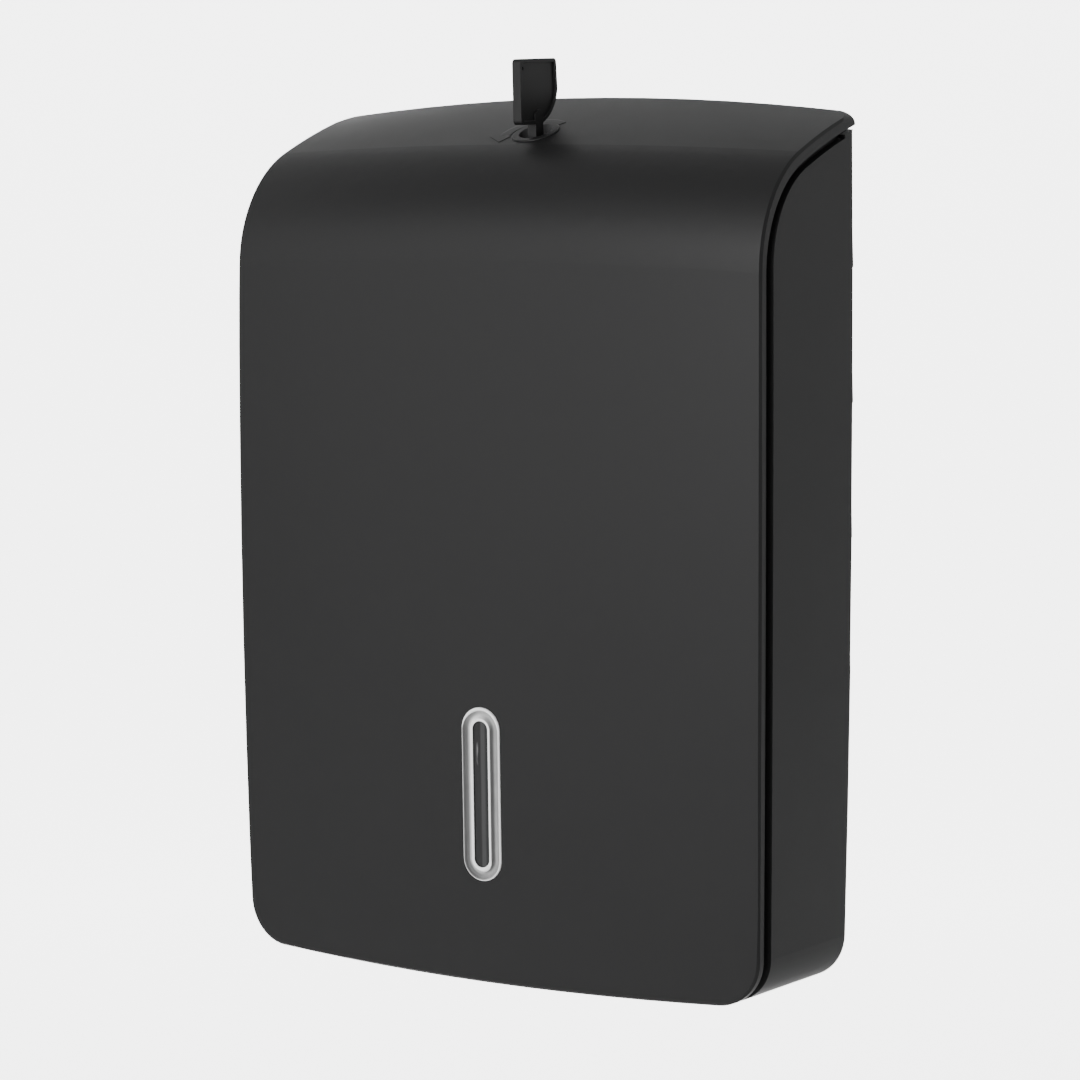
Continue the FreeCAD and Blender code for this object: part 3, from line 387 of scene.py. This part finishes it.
def from_middle_line(finish):
    """Distance in mm from the middle line of the window."""
    sideways = abs(finish.along("X") - bezel_centre.x)
    past_end = (abs(finish.along("Z") - bezel_centre.z) - straight_half).kept_in(0.0, bezel_half)
    return (sideways * sideways + past_end * past_end) ** 0.5 * (1.0 / mm)


# %% [markdown]
# ## Rim, cove and slot
# Masks cut the ring into zones by that distance in millimetres: the slot's wall is painted dark grey, the
# cove is etched, and the rest is polished white with painted highlight. The cove is not one grey, because
# light and shade are painted into it. Its left side is painted bright beside the inner rim, as painted
# light, and dims outwards, and its right side is painted dark beside the inner rim, as painted shade, and
# goes to an even grey. Each side gets its own ramp of painted shades, from 0 for black to 1 for the polish
# of the rims, and a mask that runs from left to right passes from one to the other. The top of the cove gets
# more painted light. At the foot the inner rim is wider, and at the top the outer rim is, as painted
# highlights.

# %% The ring's finish
# The rims' white is polish and painted highlight at once.
polish_and_highlight = (0.97, 0.97, 0.97)
slot_grey = (0.03, 0.03, 0.0305)
slot_edge = 3.75
cove_edge = 4.8
rim_edge = 9.1
foot_highlight_width = 1.5
top_highlight_width = 1.2
slot_shift = 0.35
crisp_border = 0.1
soft_border = 0.15
left_outer = 0.09
left_inner = 0.95
right_inner = 0.07
right_outer = 0.28
top_painted_light = 0.15
left_ramp = (0.05, 0.6)
right_ramp = (0.2, 0.5)
side_border = 0.6
mottle_size = 2.0 * mm

bright = Finish("window_ring_bright", polish_and_highlight, 0.2, Specular_IOR_Level=0.5)
reach = from_middle_line(bright)
left_to_right = ((bright.along("X") - bezel_centre.x) * (1.0 / bezel_half)).kept_in(-1.0, 1.0)
above_middle = (bright.along("Z") - bezel_centre.z) * (1.0 / bezel_half)
upwards = (above_middle - straight_half / bezel_half).kept_in(0.0, 1.0)
downwards = (-straight_half / bezel_half - above_middle).kept_in(0.0, 1.0)
# The extra rim width at the foot and at the top is a painted highlight.
past_inner_rim = (reach - (cove_edge + foot_highlight_width * downwards)).around(0.0, soft_border)
past_cove = (reach - (rim_edge - top_highlight_width * upwards)).around(0.0, soft_border)
in_cove = past_inner_rim * (1.0 - past_cove)
in_slot = 1.0 - (reach + slot_shift * left_to_right).around(slot_edge, crisp_border)
across_cove = ((reach - cove_edge) * (1.0 / (rim_edge - cove_edge))).kept_in(0.0, 1.0)
# The cove's shades are painted light on its left side and painted shade on its right, with more painted
# light at its top.
left_painted_light = left_outer + (left_inner - left_outer) * (1.0 - across_cove.between(*left_ramp))
right_painted_shade = right_inner + (right_outer - right_inner) * across_cove.between(*right_ramp)
painted_cove_light = left_painted_light + left_to_right.around(0.0, side_border) * (right_painted_shade - left_painted_light) + top_painted_light * upwards
mottle = bright.cloud(mottle_size, detail=3.0, stretch=(1.0, 1.0, 0.3))
etched_and_painted_light = bright.blend(black, polish_and_highlight, (painted_cove_light * (0.7 + 0.6 * mottle)).kept_in(0.0, 1.0))
outside_slot = bright.blend(polish_and_highlight, etched_and_painted_light, in_cove)
bright.drive("Base Color", bright.blend(outside_slot, slot_grey, in_slot))
bright.drive("Roughness", 0.15 + 0.25 * in_cove + 0.1 * mottle)
print("in mm from the middle line: slot to", slot_edge, "- inner rim to", cove_edge, "- cove to", rim_edge)

# %% [markdown]
# ## The smoked pane
# Behind the slot stands a strip of smoked clear plastic. It shows the dark inside of the housing, with a
# band of painted light right of the middle, fine upright flow lines that in the colour are also faint
# painted highlights, and one short painted highlight near the top.

# %% The pane's finish
smoke_dark = (0.006, 0.006, 0.0063)
pane_painted_light = (0.12, 0.12, 0.122)
flow_size = 1.2 * mm
patch_size = 4.0 * mm
light_rise = (-0.7, 0.3)
light_fall = (1.3, 2.7)
streak_left = 1.9
streak_rise = (12.0, 15.0)
streak_fall = (20.0, 23.0)

smoked = Finish("window_pane_smoked", (0.02, 0.02, 0.021), 0.12, Specular_IOR_Level=etched_specular)
aside = (smoked.along("X") - bezel_centre.x) * (1.0 / mm)
height = (smoked.along("Z") - bezel_centre.z) * (1.0 / mm)
flow_and_sheen = smoked.cloud(flow_size, detail=2.0, stretch=(1.0, 1.0, 0.04))
patch = smoked.cloud(patch_size, detail=2.0, stretch=(2.0, 1.0, 0.5))
# The band right of the middle is painted light, the streak is a painted highlight, and the flow lines add
# faint painted highlights to the colour.
painted_light_band = aside.within(light_rise, light_fall)
on_streak = 1.0 - abs(aside + streak_left).between(0.1, 0.6)
highlight_streak = on_streak * height.within(streak_rise, streak_fall) * patch.between(0.3, 0.5)
shade = 0.02 + 0.08 * flow_and_sheen + 0.24 * painted_light_band + 1.2 * highlight_streak
smoked.drive("Base Color", smoked.blend(smoke_dark, pane_painted_light, shade))
smoked.drive("Roughness", 0.14 + 0.2 * flow_and_sheen)
dress(smoked, "window_pane")

# %% [markdown]
# ## The rosette, the ring and the key
# Moulded pieces have no sharp edges: the mould's corners are eased, and each edge catches a thin line of
# light. The CAD pieces are copied, their loose triangles merged, their flat sides made single faces, and a
# Bevel modifier rounds every edge that turns by more than 25 degrees. Each copy stands for its CAD piece and
# rides on the same body. The rosette's dish is painted paler than its rim, as painted light in the dish
# where the rim and the key leave it in shade, so its finish knows how far a point lies from the lock's axis.

# %% The rosette's finish
lock_turn = {joint["name"]: joint for joint in frame["joints"]}["lock_turn"]
lock_point = Vector(lock_turn["pos_m"])
lock_axis = Vector(lock_turn["axis"]).normalized()
rim_black = (0.0062, 0.0062, 0.0064)
dish_painted_light = (0.06, 0.06, 0.061)
dish_edge = 7.3
rosette_grain = 0.4 * mm

rosette_black = Finish("rosette_satin_black", (0.006, 0.006, 0.006), 0.4, Specular_IOR_Level=etched_specular)
from_axis = rosette_black.from_line(tuple(lock_point), tuple(lock_axis)) * (1.0 / mm)
in_dish = 1.0 - from_axis.around(dish_edge, crisp_border)
speck = rosette_black.cloud(rosette_grain, detail=2.0)
# The dish's paler grey is painted light in its shade.
rosette_black.drive("Base Color", rosette_black.blend(rim_black, dish_painted_light, in_dish))
rosette_black.drive("Roughness", 0.38 + 0.1 * speck + 0.1 * in_dish)
rosette_black.relief(speck, grain_height, strength=0.5)
print("the rosette is paler within", dish_edge, "mm of the lock's axis")

# %% Eased copies
smooth_turn = math.radians(40.0)


def ease_edges(piece, width, segments, turn=25.0):
    """Rounds the edges that turn by more than this, and shades wide faces flat and rounds smooth."""
    bevel = piece.modifiers.new("eased_edges", "BEVEL")
    bevel.width = width
    bevel.segments = segments
    bevel.limit_method = "ANGLE"
    bevel.angle_limit = math.radians(turn)
    bevel.use_clamp_overlap = True
    even = piece.modifiers.new("even_shading", "WEIGHTED_NORMAL")
    even.keep_sharp = True
    only(piece)
    bpy.ops.object.shade_smooth_by_angle(angle=smooth_turn)
    apply_modifiers(piece)


def stand_for(name, node, body, finish, width, segments):
    """Makes an eased copy that stands for the CAD piece, hides the CAD piece, and puts the copy on the same
    body.
    """
    piece = copy_of(node, name)
    ease_edges(piece, width, segments)
    dress(finish, piece)
    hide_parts(node)
    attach(piece, body)
    print(piece.name, "has", len(piece.data.polygons), "faces")


stand_for("lock_rosette", "lock_body", "cover", rosette_black, width=0.2 * mm, segments=3)
stand_for("window_ring", "window_bezel", "cover", bright, width=0.12 * mm, segments=2)
stand_for("turn_key", "key", "key", key_black, width=0.25 * mm, segments=3)

# %% [markdown]
# ## The arrow on the roof
# A raised arrow curves round the left of the rosette and shows which way the key turns. On the mould it
# is a shallow pocket with a flat floor. A short edge is spun round the key's axis to give the band, whose
# two sides are then moved a little to the left. The last edge is widened and drawn to a point for the
# head, the sheet is laid on the roof with Shrinkwrap, and Solidify and Bevel give it its height and its
# eased edges.

# %% The edge that makes the arrow
band_inner = 11.0 * mm
band_outer = 15.3 * mm
band_width = band_outer - band_inner
band_middle = (band_inner + band_outer) / 2.0

bpy.ops.object.select_all(action="DESELECT")
bpy.ops.mesh.primitive_plane_add(size=band_width, location=(band_middle, 0.0, 0.0))
arrow = bpy.context.active_object
arrow.name = "roof_arrow"
bpy.ops.object.transform_apply(location=True, rotation=False, scale=False)
bpy.ops.object.mode_set(mode="EDIT")
pick(arrow, lambda v: v.co.y < 0.0)
bpy.ops.mesh.delete(type="VERT")
bpy.ops.mesh.select_all(action="SELECT")
bpy.ops.transform.translate(value=(0.0, -band_width / 2.0, 0.0))
bpy.ops.object.mode_set(mode="OBJECT")
print("arrow starts with", len(arrow.data.vertices), "points and", len(arrow.data.edges), "edge")

# %% The arrow's band
band_start = math.radians(50.0)
band_end = math.radians(193.0)
band_steps = 36
outer_left = 1.6 * mm
inner_left = 0.5 * mm

bpy.ops.object.mode_set(mode="EDIT")
bpy.ops.mesh.select_all(action="SELECT")
bpy.ops.transform.rotate(value=-band_start, orient_axis="Z", center_override=origin)
bpy.ops.mesh.spin(steps=band_steps, angle=band_start - band_end, center=origin, axis=(0.0, 0.0, 1.0))
pick(arrow, lambda v: v.co.xy.length > band_middle)
bpy.ops.transform.translate(value=(-outer_left, 0.0, 0.0))
pick(arrow, lambda v: v.co.xy.length < band_middle)
bpy.ops.transform.translate(value=(-inner_left, 0.0, 0.0))
bpy.ops.object.mode_set(mode="OBJECT")
print("the band has", len(arrow.data.polygons), "faces")

# %% The arrow's head
head_width = 11.6 * mm
head_length = 7.5 * mm
head_root = 0.05 * mm
head_outwards = 1.5 * mm
tip_inwards = 1.0 * mm
near_end = math.radians(1.5)
outwards = Vector((math.cos(band_end), math.sin(band_end), 0.0))
onwards = Vector((-math.sin(band_end), math.cos(band_end), 0.0))
end_edge = [v.index for v in arrow.data.vertices if abs(v.co.xy.angle_signed(outwards.xy)) < near_end]
print("the band ends in", len(end_edge), "points")

bpy.ops.object.mode_set(mode="EDIT")
pick(arrow, lambda v: v.index in end_edge)
bpy.ops.mesh.extrude_region_move(TRANSFORM_OT_translate={"value": onwards * head_root})
root = [v.co.copy() for v in bmesh.from_edit_mesh(arrow.data).verts if v.select]
bpy.ops.transform.resize(value=(head_width / (root[0] - root[1]).length,) * 3)
bpy.ops.transform.translate(value=head_outwards * outwards)
bpy.ops.mesh.extrude_region_move(TRANSFORM_OT_translate={"value": onwards * head_length})
bpy.ops.mesh.merge(type="CENTER")
bpy.ops.transform.translate(value=-tip_inwards * outwards)
bpy.ops.mesh.select_all(action="SELECT")
bpy.ops.mesh.subdivide(number_cuts=3)
bpy.ops.mesh.normals_make_consistent(inside=False)
bpy.ops.object.mode_set(mode="OBJECT")

# %% [markdown]
# Recalculating the normals makes the faces of a sheet agree, but an open sheet has no inside, so they may
# all look down. Solidify needs them to look up.

# %% The arrow's upper side
if sum(face.normal.z for face in arrow.data.polygons) < 0.0:
    bpy.ops.object.mode_set(mode="EDIT")
    bpy.ops.mesh.select_all(action="SELECT")
    bpy.ops.mesh.flip_normals()
    bpy.ops.object.mode_set(mode="OBJECT")
print("the arrow has", len(arrow.data.polygons), "faces")

# %% The arrow on the roof
roof_slope = math.radians(22.7)
above_roof = 5.0 * mm
arrow_height = 0.2 * mm
sunk = 0.05 * mm

arrow.rotation_euler = (roof_slope, 0.0, 0.0)
arrow.location = lock_point + Vector((0.0, -math.sin(roof_slope), math.cos(roof_slope))) * above_roof
bpy.context.view_layer.update()
lay = arrow.modifiers.new("laid_on_roof", "SHRINKWRAP")
lay.wrap_method = "PROJECT"
lay.use_project_z = True
lay.use_negative_direction = True
lay.use_positive_direction = False
lay.target = nodes["front_cover"]
lay.offset = -sunk
apply_modifiers(arrow)
bpy.ops.object.transform_apply(location=True, rotation=True, scale=True)
wall = arrow.modifiers.new("height", "SOLIDIFY")
wall.thickness = arrow_height + sunk
wall.offset = 1.0
ease_edges(arrow, width=0.1 * mm, segments=2, turn=50.0)
dress(cover_black, arrow)
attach(arrow, "cover")
print("arrow spans in mm:", [round(v / mm, 1) for v in arrow.dimensions])

# %% [markdown]
# ## The camera
# A product picture is taken from some way off with a long lens, so that the upright sides stay nearly
# parallel. The camera looks at the middle of the dispenser from the right front and from a little above.

# %% The camera
aim = Vector((14.48, -60.0, 1.07)) * mm
azimuth = math.radians(33.71)
elevation = math.radians(5.46)
distance = 1.6106
focal_length = 125.88
sensor_width = 36.0
to_camera = Vector((math.sin(azimuth) * math.cos(elevation), -math.cos(azimuth) * math.cos(elevation),
                    math.sin(elevation)))

lens = bpy.data.cameras.new("studio_camera")
lens.lens = focal_length
lens.sensor_width = sensor_width
lens.clip_end = 100.0
camera = bpy.data.objects.new("studio_camera", lens)
camera.location = aim + distance * to_camera
camera.rotation_euler = (-to_camera).to_track_quat("-Z", "Y").to_euler()
bpy.context.scene.collection.objects.link(camera)
bpy.context.scene.camera = camera
print("camera at", [round(c, 3) for c in camera.location], "with a lens of", focal_length, "mm")

# %% [markdown]
# ## Studio floor
# A pale sheet lies on the floor and curves up behind the object, so no line shows where the floor ends.
# It is one plane: its far edge is spun a quarter turn to give the curve and is then extruded upwards.

# %% The curved sheet
floor_z = -0.55
sheet_side = 7.0
sheet_front = 9.0
sheet_back = 2.0
sheet_curve = 1.0
sheet_rise = 3.0
curve_top = floor_z + sheet_curve
curve_steps = 24
plane_half = 1.0

bpy.ops.object.select_all(action="DESELECT")
bpy.ops.mesh.primitive_plane_add(size=2.0 * plane_half, location=(0.0, 0.0, floor_z))
sheet = bpy.context.active_object
sheet.name = "studio_sheet"
bpy.ops.object.transform_apply(location=True, rotation=False, scale=False)
bpy.ops.object.mode_set(mode="EDIT")
bpy.ops.mesh.select_all(action="SELECT")
bpy.ops.transform.resize(value=(sheet_side / plane_half, 1.0, 1.0), center_override=origin)
pick(sheet, lambda v: v.co.y < 0.0)
bpy.ops.transform.translate(value=(0.0, plane_half - sheet_front, 0.0))
pick(sheet, lambda v: v.co.y > 0.0)
bpy.ops.transform.translate(value=(0.0, sheet_back - plane_half, 0.0))
bpy.ops.mesh.spin(steps=curve_steps, angle=-math.pi / 2.0, center=(0.0, sheet_back, curve_top),
                  axis=(1.0, 0.0, 0.0))
pick(sheet, lambda v: v.co.z > curve_top - 1.0 * mm)
bpy.ops.mesh.extrude_region_move(TRANSFORM_OT_translate={"value": (0.0, 0.0, sheet_rise)})
bpy.ops.mesh.select_all(action="SELECT")
bpy.ops.transform.rotate(value=-azimuth, orient_axis="Z", center_override=origin)
bpy.ops.object.mode_set(mode="OBJECT")
bpy.ops.object.shade_smooth()
print("sheet in m:", [round(v, 2) for v in sheet.dimensions])

# %% [markdown]
# ## A lit patch behind the object
# A studio lights its backdrop with a lamp of its own, so that the object's outline stands clear. Here a
# patch of the sheet glows. It lies round a line that runs back from the object, and it fades out at its
# rim, before it can show in the object's sides.

# %% The sheet's glow
white = (1.0, 1.0, 1.0)
paper = (0.85, 0.85, 0.85)
glow_strength = 4.0
glow_behind = (0.9, 1.3)
glow_radius = (1.0, 1.7)
backwards = tuple(-to_camera)

pale = Finish("studio_paper", paper, 0.8, Emission_Strength=glow_strength)
from_aim = pale.vector("SUBTRACT", pale.place(), tuple(aim))
behind = pale.vector("DOT_PRODUCT", from_aim, backwards, "Value")
radius = pale.from_line(tuple(aim), backwards)
glow = behind.between(*glow_behind) * (1.0 - radius.between(*glow_radius))
pale.drive("Emission Color", pale.blend(black, white, glow))
dress(pale, sheet)

# %% [markdown]
# ## Soft light
# Black plastic shows mostly what it mirrors, so the lights are large and soft and each has one task. The
# air gives light from everywhere, and leaves the roof's rear edge the palest part. The strongest box
# stands straight in front and lifts the face, the one above it reaches the roof, two at the front left
# draw the soft line under the shoulder, and weak ones touch the flank, the left side and the round lower
# corners.

# %% The soft boxes
centre = Vector((0.0, -0.04, 0.0))
foot = Vector((0.0, -0.04, -0.15))


def softbox(name, way, size, power, off=2.0, target=centre):
    """A rectangular lamp in this direction from its target, this many metres off and facing it."""
    lamp = bpy.data.lights.new(name, "AREA")
    lamp.shape = "RECTANGLE"
    lamp.size = size[0]
    lamp.size_y = size[1]
    lamp.energy = power
    light = bpy.data.objects.new(name, lamp)
    light.location = target + Vector(way).normalized() * off
    light.rotation_euler = (target - light.location).to_track_quat("-Z", "Y").to_euler()
    light.visible_camera = False
    bpy.context.scene.collection.objects.link(light)
    print(name, "at", [round(c, 2) for c in light.location], "with", power, "W")


softbox("front", way=(0.05, -1.0, 0.25), size=(1.2, 1.2), power=27.9)
softbox("front_high", way=(0.0, -0.75, 0.65), size=(1.2, 1.0), power=6.9)
softbox("front_left", way=(-0.58, -0.75, 0.30), size=(1.2, 1.2), power=6.5)
softbox("front_low", way=(-0.55, -0.82, -0.10), size=(1.2, 1.0), power=3.9)
softbox("left", way=(-1.0, 0.10, 0.30), size=(1.2, 1.2), power=4.8)
softbox("behind_right", way=(0.30, 0.95, 0.10), size=(1.0, 1.2), power=1.7)
softbox("from_below", way=(-0.30, 0.45, -0.85), size=(0.5, 0.5), power=3.5, off=0.55, target=foot)

# %% The light of the air
air_strength = 0.585
air = bpy.data.worlds.new("studio_air")
air.use_nodes = True
air_light = air.node_tree.nodes["Background"]
air_light.inputs["Color"].default_value = (*white, 1.0)
air_light.inputs["Strength"].default_value = air_strength
bpy.context.scene.world = air
print("the air's light has a strength of", air_strength)

# %% [markdown]
